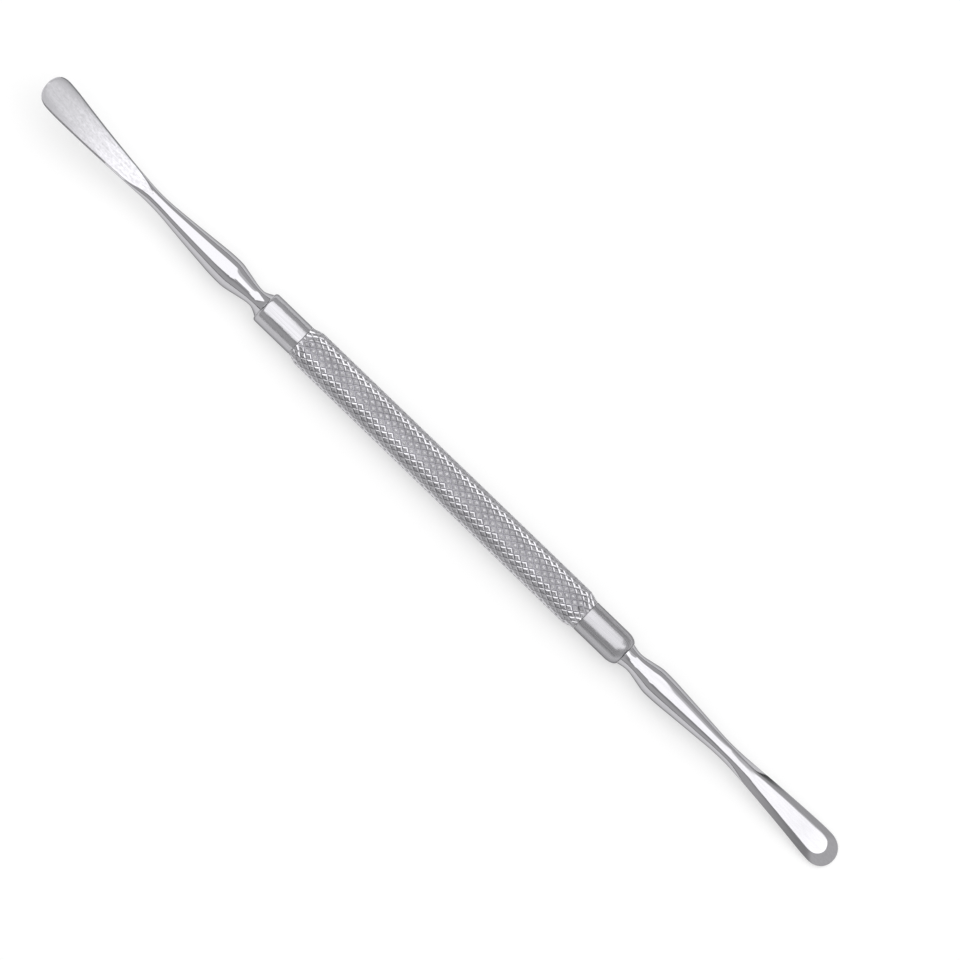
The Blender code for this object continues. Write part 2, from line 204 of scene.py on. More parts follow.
class StageLook(bpy.types.PropertyGroup):
    """The floor, the room, the lamp and the camera."""
    floor: shade("Floor", "Colour of the floor", (0.93, 0.93, 0.93))
    walls: number("Walls", "Brightness of the room's walls", 0.57)
    ceiling: number("Ceiling", "Brightness of the room's ceiling", 0.36)
    rail: number("Rail", "Brightness of the dark band low on the walls", 0.04)
    skirting: number("Skirting", "Brightness of the room where it meets the floor", 0.95)
    window: number("Window", "Brightness of the wall at the pusher's end", 0.66)
    softbox: number("Softbox", "Brightness of the lamp overhead", 1.42)
    azimuth: FloatProperty(name="Azimuth", description="Where the camera stands round the tool",
                           default=0.0, subtype="ANGLE")
    elevation: FloatProperty(name="Elevation", description="How high the camera stands",
                             default=math.radians(75), subtype="ANGLE")
    roll: FloatProperty(name="Roll", description="How far the camera is rolled",
                        default=math.radians(43.96), subtype="ANGLE")
    distance: FloatProperty(name="Distance", description="From the camera to the tool",
                            default=6.0, min=0.1, unit="LENGTH")
    view_width: FloatProperty(name="View width", description="Width of the view at the tool",
                              default=0.1392, min=0.001, precision=5, unit="LENGTH")


GROUPS = {
    "spatula_grip": GripSizes,
    "spatula_collars": CollarSizes,
    "spatula_spatula": SpatulaSizes,
    "spatula_pusher": PusherSizes,
    "spatula_steel": SteelFinish,
    "spatula_stage": StageLook,
}


# Node trees. These are the Mix node's sockets when it mixes colours: its factor and its two
# colours, and its result.
COLOUR_MIX_INPUTS, COLOUR_MIX_OUTPUT = (0, 6, 7), 2


def sums(operation):
    """A method that feeds a signal, and what it is combined with, to a Math node."""
    return lambda signal, *others: signal.maths(operation, signal, *others)


def sums_from_right(operation):
    """The same for a signal to the right of its operator."""
    return lambda signal, other: signal.maths(operation, other, signal)


class Signal:
    """A socket of a node tree that takes part in sums; each operation adds its Math node."""

    def __init__(self, tree, socket):
        self.tree = tree
        self.socket = socket

    def maths(self, operation, *operands):
        node = self.tree.nodes.new("ShaderNodeMath")
        node.operation = operation
        for socket, operand in zip(node.inputs, operands):
            join(self.tree, operand, socket)
        return Signal(self.tree, node.outputs[0])

    __add__, __radd__ = sums("ADD"), sums_from_right("ADD")
    __sub__, __rsub__ = sums("SUBTRACT"), sums_from_right("SUBTRACT")
    __mul__, __rmul__ = sums("MULTIPLY"), sums_from_right("MULTIPLY")
    __truediv__, __pow__, __mod__ = sums("DIVIDE"), sums("POWER"), sums("MODULO")
    __abs__, floor, ceil = sums("ABSOLUTE"), sums("FLOOR"), sums("CEIL")
    sine, cosine, at_least = sums("SINE"), sums("COSINE"), sums("MAXIMUM")


def join(tree, source, socket):
    """Feed a socket from a signal, or set its value."""
    if isinstance(source, Signal):
        tree.links.new(source.socket, socket)
    else:
        socket.default_value = source


def set_stops(ramp, stops):
    """Give a ramp its stops, each a place and a grey level."""
    while len(ramp.elements) < len(stops):
        ramp.elements.new(0.5)
    for element, (place, level) in zip(ramp.elements, stops):
        element.position = place
        element.color = opaque((level, level, level))


class Board:
    """A node tree under construction, with one method that adds any node."""

    def __init__(self, tree):
        self.tree = tree

    def add(self, kind, values=None, **settings):
        """A node of a kind: its settings first, then the values or links of its sockets."""
        node = self.tree.nodes.new(kind)
        for key, value in settings.items():
            if key == "stops":
                set_stops(node.color_ramp, value)
            else:
                setattr(node, key, value)
        for key, value in (values or {}).items():
            join(self.tree, value, node.inputs[key])
        return node

    def signal(self, node, output=0):
        return Signal(self.tree, node.outputs[output])

    def take(self, kind, values=None, output=0, **settings):
        """The output of a new node, as a signal."""
        return self.signal(self.add(kind, values, **settings), output)

    def parts(self, vector):
        """The X, Y and Z of a vector."""
        node = self.add("ShaderNodeSeparateXYZ", {"Vector": vector})
        return [self.signal(node, axis) for axis in "XYZ"]

    def vector(self, x, y=0.0, z=0.0):
        """A vector from its X, Y and Z."""
        return self.take("ShaderNodeCombineXYZ", {"X": x, "Y": y, "Z": z})

    def blend(self, mask, first, last):
        """A colour between two colours."""
        node = self.add("ShaderNodeMix", data_type="RGBA")
        for socket, value in zip(COLOUR_MIX_INPUTS, (mask, first, last)):
            join(self.tree, value, node.inputs[socket])
        return self.signal(node, COLOUR_MIX_OUTPUT)

    def span(self, value, low, high, first=0.0, last=1.0, smooth=True):
        """A value carried from one range to another, and held at its ends."""
        kind = "SMOOTHSTEP" if smooth else "LINEAR"
        return self.take("ShaderNodeMapRange",
                         {"Value": value, "From Min": low, "From Max": high,
                          "To Min": first, "To Max": last}, interpolation_type=kind, clamp=True)

    def over(self, value, edge, softness):
        """1 where a value lies over an edge and 0 where it lies under it, with a soft step."""
        return self.span(value - edge, -softness, softness)


# The finishes. A grain is the length of a pattern's marks along X, Y and Z, and its range is
# the part of it that counts. A tone is how bright the steel is at the two ends of the range,
# as shares of its own brightness. A dulling is what a pattern adds to the roughness, and a
# relief is the depth of a bump.

# Knurl: how deep the dull skin of a crest is full and is gone, the share of its depth above
# which a groove is free of grime and painted shade, scratches, and patches of wear
CREST_FULL, CREST_GONE = 0.015 * MM, 0.03 * MM
GROOVE_GRIME_AND_SHADE_SHARE = 0.75
SCRATCH_GRAIN, SCRATCH_RANGE = (0.35 * MM, 0.16 * MM, 0.16 * MM), (0.35, 0.65)
PATCH_GRAIN, PATCH_RANGE = (5 * MM, 2 * MM, 2 * MM), (0.3, 0.7)
CUT_TONE, SCORED_TONE = (1.08, 1.24), (0.5, 0.9)
GROOVE_DULLING, CREST_DULLING, SCRATCH_DULLING = 0.2, 0.2, 0.1
FLANK_RELIEF_SHARE = 0.08
KNURL_RELIEF = 0.05 * MM

# Collars: rings left by the lathe, streaks polished along them, and rubbed patches
RING_GRAIN = (0.08 * MM, 40 * MM, 40 * MM)
STREAK_GRAIN, STREAK_RANGE = (9 * MM, 0.16 * MM, 0.16 * MM), (0.25, 0.75)
RUBBED_GRAIN = (1.6 * MM, 0.9 * MM, 0.9 * MM)
TURNED_TONE, SATIN_TONE = (0.846, 0.9964), (0.72, 0.848)
STREAK_DULLING, RING_DULLING, RUBBED_DULLING = 0.14, 0.06, 0.12
STREAK_RELIEF_SHARE, RING_RELIEF_SHARE = 0.05, 0.02
TURNED_RELIEF = 0.03 * MM

# Spatula: a ground face whose lines are coarse, fine and mottled, with painted shade towards
# its tip and its margins, and a dark line of painted shade where it leaves the shank
COARSE_GRAIN, COARSE_SHARE = (6 * MM, 0.3 * MM, 3 * MM), 0.25
FINE_GRAIN, FINE_SHARE = (0.9 * MM, 0.11 * MM, 1 * MM), 0.35
MOTTLE_GRAIN, MOTTLE_SHARE = (0.5 * MM, 0.35 * MM, 1 * MM), 0.4
POLISH_GRAIN = (7 * MM, 0.3 * MM, 0.3 * MM)
WORKED_RANGE, WORKED_TONE = (0.38, 0.62), (0.86, 1.44)
# Painted shade on the ground face: its reach from the tip, its darkness, and its growth towards
# the margins
TIP_SHADE_LENGTH, FACE_SHADE_LEVEL = 16 * MM, 0.6
MARGIN_START, MIDDLE_SHADE, MARGIN_SHADE = 0.3, 0.6, 0.95
# A dark line of painted shade along the ground face's border: its peak, strength and darkness
BORDER_SHADE_PEAK, BORDER_SHADE_STRENGTH, BORDER_SHADE_LEVEL = 0.25, 0.85, 0.45
POLISH_DULLING, GROUND_DULLING = 0.06, 0.25
POLISH_RELIEF_SHARE = 0.1
GROUND_RELIEF = 0.006 * MM

# Pusher: faint lines under a fainter haze
LINE_GRAIN, LINE_RANGE = (8 * MM, 0.25 * MM, 0.25 * MM), (0.3, 0.7)
HAZE_GRAIN = (3 * MM, 3 * MM, 3 * MM)
MIRROR_TONE = (0.97, 1.03)
LINE_DULLING, HAZE_DULLING = 0.05, 0.04
MIRROR_RELIEF = 0.0008 * MM


class Finish(Board):
    """One steel finish: a metal shader and the patterns that vary it over the surface."""

    def __init__(self, name, looks):
        self.material = bpy.data.materials.new(name)
        self.material.use_nodes = True
        super().__init__(self.material.node_tree)
        self.shader = self.tree.nodes["Principled BSDF"]
        tint = looks.edge_tint
        self.shader.inputs["Metallic"].default_value = 1.0
        self.shader.inputs["Specular Tint"].default_value = (tint, tint, tint, 1.0)
        self.place = self.take("ShaderNodeTexCoord", output="Object")

    def attribute(self, name):
        """A number that the mesh carries at each of its points."""
        return self.take("ShaderNodeAttribute", output="Fac", attribute_type="GEOMETRY",
                         attribute_name=name)

    def noise(self, grain, detail=3.0, lift=0.5):
        """Noise whose grain is given as its length in metres along X, Y and Z."""
        spread = self.take("ShaderNodeMapping",
                           {"Vector": self.place, "Scale": [1 / size for size in grain]},
                           "Vector", vector_type="POINT")
        return self.take("ShaderNodeTexNoise",
                         {"Vector": spread, "Scale": 1.0, "Detail": detail, "Roughness": lift},
                         noise_dimensions="3D")

    def toned(self, pattern, between, steel, tone, smooth=True):
        """Steel whose brightness runs over a tone as a pattern runs over its range."""
        mask = self.span(pattern, *between, smooth=smooth)
        return self.blend(mask, *(opaque(steel, level) for level in tone))

    def dress(self, colour, roughness, height, relief):
        """Feed the shader its colour, its roughness and a bump of a depth in metres."""
        bump = self.take("ShaderNodeBump",
                         {"Height": height, "Strength": 1.0, "Distance": relief}, "Normal")
        for name, value in (("Base Color", colour), ("Roughness", roughness), ("Normal", bump)):
            join(self.tree, value, self.shader.inputs[name])
        return self.material


def opaque(colour, level=1.0):
    """A colour with its alpha, made brighter or darker."""
    return [channel * level for channel in colour] + [1.0]


def swing(pattern, amount):
    """A noise pattern's swing to either side of its middle, over an amount in all."""
    return (pattern - 0.5) * amount


def knurled_steel(sizes, looks):
    """Cut teeth: bright flanks, dull scored crests, and grooves with grime and painted shade."""
    finish = Finish("knurled_steel", looks)
    x, across, z = finish.parts(finish.place)
    along, up = abs(x - (GRIP_START + GRIP_END) / 2), z - AXIS_HEIGHT
    half = (GRIP_END - GRIP_START) / 2
    drawn_in = finish.span(along, half - sizes.end_length, half, 0.0, sizes.end_drop)
    radius = (across * across + up * up) ** 0.5 + drawn_in
    # Grime and painted shade: the groove bottoms and the bore take the dark groove colour
    free_of_grime_and_shade = finish.span(radius, GRIP_RADIUS - sizes.depth,
                        GRIP_RADIUS - sizes.depth * GROOVE_GRIME_AND_SHADE_SHARE)
    crest = finish.span(radius, GRIP_RADIUS - CREST_GONE, GRIP_RADIUS - CREST_FULL)
    scratches = finish.noise(SCRATCH_GRAIN)
    patches = finish.noise(PATCH_GRAIN, detail=2.0)
    cut = finish.toned(patches, PATCH_RANGE, looks.steel, CUT_TONE)
    scored = finish.toned(scratches, SCRATCH_RANGE, looks.steel, SCORED_TONE)
    metal = finish.blend(crest, finish.blend(free_of_grime_and_shade, opaque(looks.groove), cut), scored)
    roughness = (looks.knurl_roughness + (1 - free_of_grime_and_shade) * GROOVE_DULLING + crest * CREST_DULLING
                 + swing(scratches, SCRATCH_DULLING))
    height = scratches * (FLANK_RELIEF_SHARE + crest * (1 - FLANK_RELIEF_SHARE))
    return finish.dress(metal, roughness, height, KNURL_RELIEF)


def turned_steel(name, looks, gloss, tone):
    """A collar turned on a lathe and polished along: faint rings under faint streaks."""
    finish = Finish(name, looks)
    rings = finish.noise(RING_GRAIN, detail=2.0)
    streaks = finish.noise(STREAK_GRAIN)
    rubbed = finish.noise(RUBBED_GRAIN)
    metal = finish.toned(streaks, STREAK_RANGE, looks.steel, tone)
    roughness = (gloss + swing(streaks, STREAK_DULLING) + swing(rings, RING_DULLING)
                 + swing(rubbed, RUBBED_DULLING))
    height = streaks * STREAK_RELIEF_SHARE + rings * RING_RELIEF_SHARE + rubbed
    return finish.dress(metal, roughness, height, TURNED_RELIEF)


def brushed_steel(looks):
    """Steel polished along the shank, with fine grinding lines on the flat face."""
    finish = Finish("brushed_steel", looks)
    ground, margin = finish.attribute("ground"), finish.attribute("margin")
    x, _, _ = finish.parts(finish.place)
    to_tip = finish.span(x, SPATULA_TIP, SPATULA_TIP + TIP_SHADE_LENGTH, 1.0, 0.0)
    coarse = finish.noise(COARSE_GRAIN, detail=4.0, lift=0.6)
    fine = finish.noise(FINE_GRAIN, lift=0.6)
    mottle = finish.noise(MOTTLE_GRAIN, lift=0.7)
    polish = finish.noise(POLISH_GRAIN, detail=2.0)
    lines = coarse * COARSE_SHARE + fine * FINE_SHARE + mottle * MOTTLE_SHARE
    worked = finish.toned(lines, WORKED_RANGE, looks.steel, WORKED_TONE, smooth=False)
    # Painted shade: the ground face is darkened towards its tip and its margins
    face_shade = finish.span(margin, MARGIN_START, 1.0, MIDDLE_SHADE, MARGIN_SHADE) * to_tip
    shaded_face = finish.blend(face_shade, worked, opaque(looks.steel, FACE_SHADE_LEVEL))
    # Painted shade: a dark line along the border of the ground face, where it leaves the shank
    edge = finish.span(ground * (1 - ground), 0.0, BORDER_SHADE_PEAK, 0.0, BORDER_SHADE_STRENGTH)
    metal = finish.blend(ground, opaque(looks.steel), shaded_face)
    metal = finish.blend(edge, metal, opaque(looks.steel, BORDER_SHADE_LEVEL))
    smooth_part = looks.polished_roughness + swing(polish, POLISH_DULLING)
    ground_part = looks.ground_roughness + swing(lines, GROUND_DULLING)
    roughness = smooth_part + (ground_part - smooth_part) * ground
    height = lines * ground + polish * (1 - ground) * POLISH_RELIEF_SHARE
    return finish.dress(metal, roughness, height, GROUND_RELIEF)


def polished_steel(looks):
    """Mirror-bright steel with the faint lines of lengthwise polishing."""
    finish = Finish("polished_steel", looks)
    lines = finish.noise(LINE_GRAIN)
    haze = finish.noise(HAZE_GRAIN, detail=2.0)
    metal = finish.toned(lines, LINE_RANGE, looks.steel, MIRROR_TONE)
    roughness = (looks.polished_roughness + swing(lines, LINE_DULLING)
                 + swing(haze, HAZE_DULLING))
    return finish.dress(metal, roughness, lines, MIRROR_RELIEF)


# Mesh work

def new_object(name, data):
    """An object in the scene."""
    made = bpy.data.objects.new(name, data)
    bpy.context.collection.objects.link(made)
    return made


def new_piece(name, mesh_data, material):
    """A closed, outward-facing piece of the tool made from a bmesh."""
    bmesh.ops.remove_doubles(mesh_data, verts=mesh_data.verts[:], dist=SAME_POINT)
    bmesh.ops.recalc_face_normals(mesh_data, faces=mesh_data.faces[:])
    mesh = bpy.data.meshes.new(name)
    mesh_data.to_mesh(mesh)
    mesh_data.free()
    mesh.materials.clear()
    mesh.materials.append(material)
    mesh.shade_smooth()
    mesh.set_sharp_from_angle(angle=SHARP_ANGLE)
    return new_object(name, mesh)


def stand_for(piece, node):
    """Let a finished piece ride on the tool in place of its CAD node."""
    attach(piece, "root")
    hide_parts(node)


def turned(outline):
    """A bmesh of a tube turned about X, from its closed outline of (x, radius) points."""
    data = bmesh.new()
    points = [data.verts.new((x, 0.0, radius)) for x, radius in outline]
    edges = [data.edges.new((a, b)) for a, b in zip(points, points[1:] + points[:1])]
    bmesh.ops.spin(data, geom=points + edges, cent=(0, 0, 0), axis=(1, 0, 0),
                   angle=2 * math.pi, steps=ROUND_STEPS)
    return data


def half_turn(x, about):
    """Half a turn about an axis, then a move to a place along the handle."""
    return Matrix.Translation((x, 0, AXIS_HEIGHT)) @ Matrix.Rotation(math.pi, 4, about)


def evaluated_mesh(piece):
    """The piece's mesh with its modifiers applied."""
    graph = bpy.context.evaluated_depsgraph_get()
    return bpy.data.meshes.new_from_object(piece.evaluated_get(graph), depsgraph=graph)


# The knurled grip. Its knurl's nodes take these inputs, of which all but the first four are the
# grip's sizes, and step up each tooth this often.
KNURL_INPUTS = {
    "bar_length": "Float", "radius": "Float", "overrun": "Float", "material": "Material",
    "depth": "Float", "pitch": "Float", "starts": "Int", "crest": "Float", "curve": "Float",
    "end_length": "Float", "end_drop": "Float",
}
TOOTH_STEPS = 5


def knurl_tree():
    """Nodes that wrap diamond teeth round a bar, each tooth a truncated pyramid."""
    tree = bpy.data.node_groups.new("diamond_knurl", "GeometryNodeTree")
    face = tree.interface
    for name, kind in KNURL_INPUTS.items():
        face.new_socket(name, in_out="INPUT", socket_type="NodeSocket" + kind)
    face.new_socket("Geometry", in_out="OUTPUT", socket_type="NodeSocketGeometry")
    board = Board(tree)
    inputs = board.add("NodeGroupInput")
    (bar_length, radius, overrun, material, depth, pitch, starts, crest, curve, end_length,
     end_drop) = [board.signal(inputs, name) for name in KNURL_INPUTS]

    # One tooth: a pyramid of unit size, bent to the bar's round and cut to its real size
    cone = board.add("GeometryNodeMeshCone",
                     {"Vertices": 4, "Side Segments": TOOTH_STEPS, "Radius Top": crest,
                      "Radius Bottom": 1.0, "Depth": 1.0}, fill_type="NGON")
    pyramid = board.take("GeometryNodeDeleteGeometry",
                         {"Geometry": board.signal(cone, "Mesh"),
                          "Selection": board.signal(cone, "Bottom")}, domain="FACE")
    along, round_it, _ = board.parts(board.take("GeometryNodeInputPosition"))
    reach = abs(along) + abs(round_it)
    down = (reach - crest) / (1 - crest)
    level = radius - depth * down * (1 - curve + down * curve)
    turn = round_it * math.pi / starts
    wrapped = board.vector(along * pitch * 0.5, level * turn.sine(), level * turn.cosine())
    tooth = board.take("GeometryNodeSetPosition", {"Geometry": pyramid, "Position": wrapped})

    # Every tooth's seat: columns of teeth along the bar, each turned half a tooth from the last
    halves = (bar_length / pitch).ceil()
    columns = halves * 2 + 1
    index = board.take("GeometryNodeInputIndex")
    column = (index / starts).floor()
    row = index - column * starts
    offset = (column + halves + 1) % 2
    seat = board.vector((column - halves) * pitch * 0.5)
    seats = board.take("GeometryNodePoints", {"Count": columns * starts, "Position": seat})
    step = board.vector((row + (1 - offset) * 0.5) * 2 * math.pi / starts)
    teeth = board.take("GeometryNodeInstanceOnPoints",
                       {"Points": seats, "Instance": tooth, "Rotation": step})
    skin = board.take("GeometryNodeRealizeInstances", {"Geometry": teeth})
    closed = board.take("GeometryNodeMergeByDistance",
                        {"Geometry": skin, "Distance": SAME_POINT})

    # The whole knurl, drawn in at both ends
    x, y, z = board.parts(board.take("GeometryNodeInputPosition"))
    end = bar_length * 0.5 - overrun
    into = board.span(abs(x), end - end_length, end)
    shrink = 1 - end_drop * into / radius
    drawn = board.vector(x, y * shrink, z * shrink)
    ended = board.take("GeometryNodeSetPosition", {"Geometry": closed, "Position": drawn})
    named = board.take("GeometryNodeSetMaterial", {"Geometry": ended, "Material": material})
    board.add("NodeGroupOutput", {"Geometry": named})
    return tree


def knurled_bar(sizes, bar_length, radius, material):
    """A bar with the diamond knurl all over, closed by a flat cap at both ends."""
    bar = new_object("knurled_bar", bpy.data.meshes.new("knurled_bar"))
    tree = knurl_tree()
    knurl = bar.modifiers.new("diamond_knurl", "NODES")
    knurl.node_group = tree
    values = {"bar_length": bar_length, "radius": radius, "overrun": OVERRUN,
              "material": material}
    for item in tree.interface.items_tree:
        if item.in_out == "INPUT":
            own = item.name in values
            knurl[item.identifier] = values[item.name] if own else getattr(sizes, item.name)
    data = bmesh.new()
    data.from_mesh(evaluated_mesh(bar))
    bpy.data.objects.remove(bar)
    rim = [edge for edge in data.edges if edge.is_boundary]
    reach = max(edge.verts[0].co.x for edge in rim)
    for corner in {vert for edge in rim for vert in edge.verts}:
        corner.co.x = math.copysign(reach, corner.co.x)
    bmesh.ops.holes_fill(data, edges=rim, sides=0)
    return new_piece("knurled_bar", data, material)


def turned_blank(sizes, grip_length, radius):
    """The tube that the knurled bar is cut to: faced at both ends, and bored through."""
    half, clear = grip_length / 2, radius + OVERRUN
    return turned([(-half, sizes.bore_radius), (-half, clear), (half, clear),
                   (half, sizes.bore_radius)])


class SPATULA_OT_grip(bpy.types.Operator):
    """Cut the diamond knurl on a bar, drawn in at both ends, then face it and bore it through"""
    bl_idname = "spatula.grip"
    bl_label = "Knurled grip"

    def execute(self, context):
        sizes, looks = context.scene.spatula_grip, context.scene.spatula_steel
        steel = knurled_steel(sizes, looks)
        grip_length = GRIP_END - GRIP_START
        bar = knurled_bar(sizes, grip_length + 2 * OVERRUN, GRIP_RADIUS, steel)
        blank = new_piece("turned_blank", turned_blank(sizes, grip_length, GRIP_RADIUS), steel)
        cut = bar.modifiers.new("faced_ends_and_bore", "BOOLEAN")
        cut.operation = "INTERSECT"
        cut.solver = "EXACT"
        cut.object = blank
        data = bmesh.new()
        data.from_mesh(evaluated_mesh(bar))
        for used in (bar, blank):
            bpy.data.objects.remove(used)
        if not data.faces:
            raise RuntimeError("the knurled bar and its turned blank don't meet")
        middle = (GRIP_START + GRIP_END) / 2
        bmesh.ops.translate(data, verts=data.verts[:], vec=(middle, 0, AXIS_HEIGHT))
        stand_for(new_piece("grip", data, steel), "knurled_grip")
        return {"FINISHED"}


# The collars

def collar_outline(sizes, bore_radius, collar_length, nose, drop):
    """Spigot, seat, barrel and rounded nose. X runs outward from the grip's end."""
    spigot = bore_radius - FIT_GAP
    outline = [
        (-sizes.spigot_length, sizes.socket_radius),
        (-sizes.spigot_length, spigot - sizes.spigot_chamfer),
        (-sizes.spigot_length + sizes.spigot_chamfer, spigot),
        (SEAT_GAP, spigot),
    ]
    for step in range(NOSE_STEPS // 2 + 1):
        angle = math.pi * step / NOSE_STEPS
        outline.append((SEAT_GAP + sizes.edge * (1 - math.cos(angle)),
                        sizes.radius - sizes.edge * (1 - math.sin(angle))))
    for step in range(NOSE_STEPS + 1):
        angle = math.pi / 2 * step / NOSE_STEPS
        outline.append((collar_length - nose * (1 - math.sin(angle)),
                        sizes.radius - drop * (1 - math.cos(angle))))
    outline.append((collar_length, sizes.socket_radius))
    return outline


class SPATULA_OT_collars(bpy.types.Operator):
    """Turn the two collars that hold the blades' tangs in the grip"""
    bl_idname = "spatula.collars"
    bl_label = "Collars"

    def execute(self, context):
        sizes, looks = context.scene.spatula_collars, context.scene.spatula_steel
        bore = context.scene.spatula_grip.bore_radius
        bright = turned_steel("turned_steel", looks, looks.turned_roughness, TURNED_TONE)
        satin = turned_steel("satin_steel", looks, looks.satin_roughness, SATIN_TONE)
        outwards = Matrix.Translation((GRIP_END, 0, AXIS_HEIGHT))
        backwards = half_turn(GRIP_START, "Z")
        for name, node, steel, place, measures in (
            ("spatula_end_collar", "spatula_collar", bright, backwards,
             (sizes.spatula_length, sizes.spatula_nose, sizes.spatula_drop)),
            ("pusher_end_collar", "pusher_collar", satin, outwards,
             (sizes.pusher_length, sizes.pusher_nose, sizes.pusher_drop)),
        ):
            data = turned(collar_outline(sizes, bore, *measures))
            bmesh.ops.transform(data, matrix=place, verts=data.verts[:])
            stand_for(new_piece(name, data, steel), node)
        return {"FINISHED"}


# The blades

def taper(x, start, end, first, last, rounded):
    """A straight taper from first to last, rounded over a share of its length at each end."""
    u = min(max((x - start) / (end - start), 0.0), 1.0)
    if u < rounded:
        part = u ** 2 / (2 * rounded)
    elif u <= 1 - rounded:
        part = u - rounded / 2
    else:
        part = 1 - rounded - (1 - u) ** 2 / (2 * rounded)
    return first + (last - first) * part / (1 - rounded)


class Blade:
    """The form of one blade, in one piece with its shank and tang.

    In its own frame X runs outward from the face of its collar, along the handle's axis,
    and Z points to the side that the blade curls to, which has the ground face.
    """

    # The share of each taper that is rounded at its ends
    BULB_ROUNDED = 0.25
    TAPER_ROUNDED = 0.2
    FLARE_ROUNDED = 0.12
    RUN_IN_ROUNDED = 0.3
    # How sharply the foot flares, how softly the rim starts, and the tang's length
    FOOT_FLARE = 1.5
    RIM_SOFTNESS = 0.12
    TANG_LENGTH = 8.0 * MM

    def __init__(self, sizes, blade_length, tang_radius):
        self.sizes = sizes
        self.length = blade_length
        self.tang_radius = tang_radius
        self.tip_at = blade_length - sizes.tip_length
        self.face_full_at = sizes.face_at + sizes.run_in
        self.curl_end = sizes.curl_at + sizes.curl_length
        bend = sizes.curl_at - sizes.bend_at
        rise_left = sizes.tip_rise - sizes.root_slope * (bend + sizes.curl_length) / 2
        self.tip_slope = rise_left / (sizes.curl_length / 2 + blade_length - self.curl_end)

    def rounding(self, reach):
        """The outline of the rounded tip: 1 where the tip begins and 0 at its end."""
        reach = min(max(reach, 0.0), 1.0)
        return (1 - reach ** self.sizes.roundness) ** (1 / self.sizes.roundness)

    def half_width(self, x):
        """Half of the width of the outline."""
        s = self.sizes
        if x < s.waist_at:
            flare = (1 - x / s.waist_at) ** self.FOOT_FLARE
            return s.waist_radius + (s.foot_radius - s.waist_radius) * flare
        for start, end, first, last, rounded in (
            (s.waist_at, s.bulb_at, s.waist_radius, s.bulb_radius, self.BULB_ROUNDED),
            (s.bulb_at, s.neck_at, s.bulb_radius, s.neck_radius, self.TAPER_ROUNDED),
            (s.neck_at, self.tip_at, s.neck_radius, s.widest, self.FLARE_ROUNDED),
        ):
            if x < end:
                return taper(x, start, end, first, last, rounded)
        return s.widest * self.rounding((x - self.tip_at) / s.tip_length)

    def plain_depth(self, x):
        """How far the round back lies from the spine, before its tip is rolled thin."""
        s = self.sizes
        if x <= s.neck_at:
            return self.half_width(x)
        root = self.face_full_at
        if x < root:
            return taper(x, s.neck_at, root, s.neck_radius, s.root_depth, self.RUN_IN_ROUNDED)
        return s.root_depth + (s.tip_depth - s.root_depth) * (x - root) / (self.length - root)

    def depth(self, x):
        """How far the round back lies from the spine."""
        if x < self.tip_at:
            return self.plain_depth(x)
        thinned = self.sizes.roll_share * (1 - self.half_width(x) / self.sizes.widest)
        return self.plain_depth(x) * (1 - thinned)

    def spine(self, x):
        """Height over the handle's axis: a slow bend, the blade's curl, then a straight end."""
        s = self.sizes
        bend = s.curl_at - s.bend_at
        bent = min(max(x - s.bend_at, 0.0), bend)
        curled = min(max(x - s.curl_at, 0.0), s.curl_length)
        straight = max(x - self.curl_end, 0.0)
        curl = (self.tip_slope - s.root_slope) / s.curl_length
        rise = s.root_slope * (bent ** 2 / (2 * bend) + curled)
        return rise + curl * curled ** 2 / 2 + self.tip_slope * straight

    def face(self, x):
        """Height of the ground face over the spine: the shank's own where it isn't ground."""
        s = self.sizes
        left = taper(x, s.face_at, self.face_full_at, 1, s.face_share, self.RUN_IN_ROUNDED)
        return self.plain_depth(x) * left

    def hollow(self, x):
        """How deep the middle of the ground face is hollowed."""
        run = (x - self.face_full_at) / (self.tip_at - self.face_full_at)
        return self.sizes.hollow_depth * math.sin(math.pi * min(max(run, 0.0), 1.0))

    def rolled(self, x, across):
        """How far the back falls to its rolled rim: 0 where the rim begins and 1 at the edge."""
        s = self.sizes
        half_width = self.half_width(min(x, self.tip_at))
        inner = max(half_width - s.rim, s.rim / 2)
        inner_tip = self.length - s.rim_end
        to_outline = 1 - self.reach(max(x - self.tip_at, 0.0) / s.tip_length, across / half_width)
        past_inner = self.reach(max(x - inner_tip + inner, 0.0) / inner, across / inner) - 1
        if past_inner <= 0:
            return 0.0
        place = past_inner / (past_inner + max(to_outline, 0.0) * half_width / inner)
        soft = self.RIM_SOFTNESS
        return (math.hypot(place, soft) - soft) / (math.hypot(1, soft) - soft)

    def reach(self, along, across):
        """How far out a point lies, where 1 is the rounded tip's outline."""
        power = self.sizes.roundness
        return (along ** power + across ** power) ** (1 / power)

    def back(self, x, angle):
        """Height of the back at an angle round it: an ellipse, or a crown with a rolled rim."""
        height = math.sin(angle)
        if self.sizes.rim and height < 0:
            crown = self.rolled(x, abs(self.half_width(x) * math.cos(angle))) - 1
            height += (crown - height) * taper(x, self.sizes.neck_at, self.face_full_at, 0, 1,
                                               self.RUN_IN_ROUNDED)
        return self.depth(x) * height

    def section(self, x):
        """The cross-section at x: round the back from edge to edge, then across the face."""
        s = self.sizes
        grown = min(max((x - s.face_at) / s.run_in, 0.0), 1.0)
        height = self.face(x)
        corner = math.asin(min((height - s.bevel_drop * grown) / self.depth(x), 1))
        points = [(self.half_width(x) * math.cos(angle), self.back(x, angle))
                  for angle in around(corner)]
        across = max(self.half_width(x) * math.cos(corner) - s.bevel * grown, 0.0)
        if x > self.tip_at:
            inner = self.rounding((x - self.tip_at) / (s.tip_length - s.bevel))
            across = min(across, (s.widest - s.bevel) * inner)
        fall = s.bevel_drop * max(x - (self.length - s.bevel), 0.0) / s.bevel
        for step in range(FACE_STEPS + 1):
            place = 2 * step / FACE_STEPS - 1
            points.append((across * place, height - fall - self.hollow(x) * (1 - place ** 2)))
        return [(x, y, z + self.spine(x)) for y, z in points]

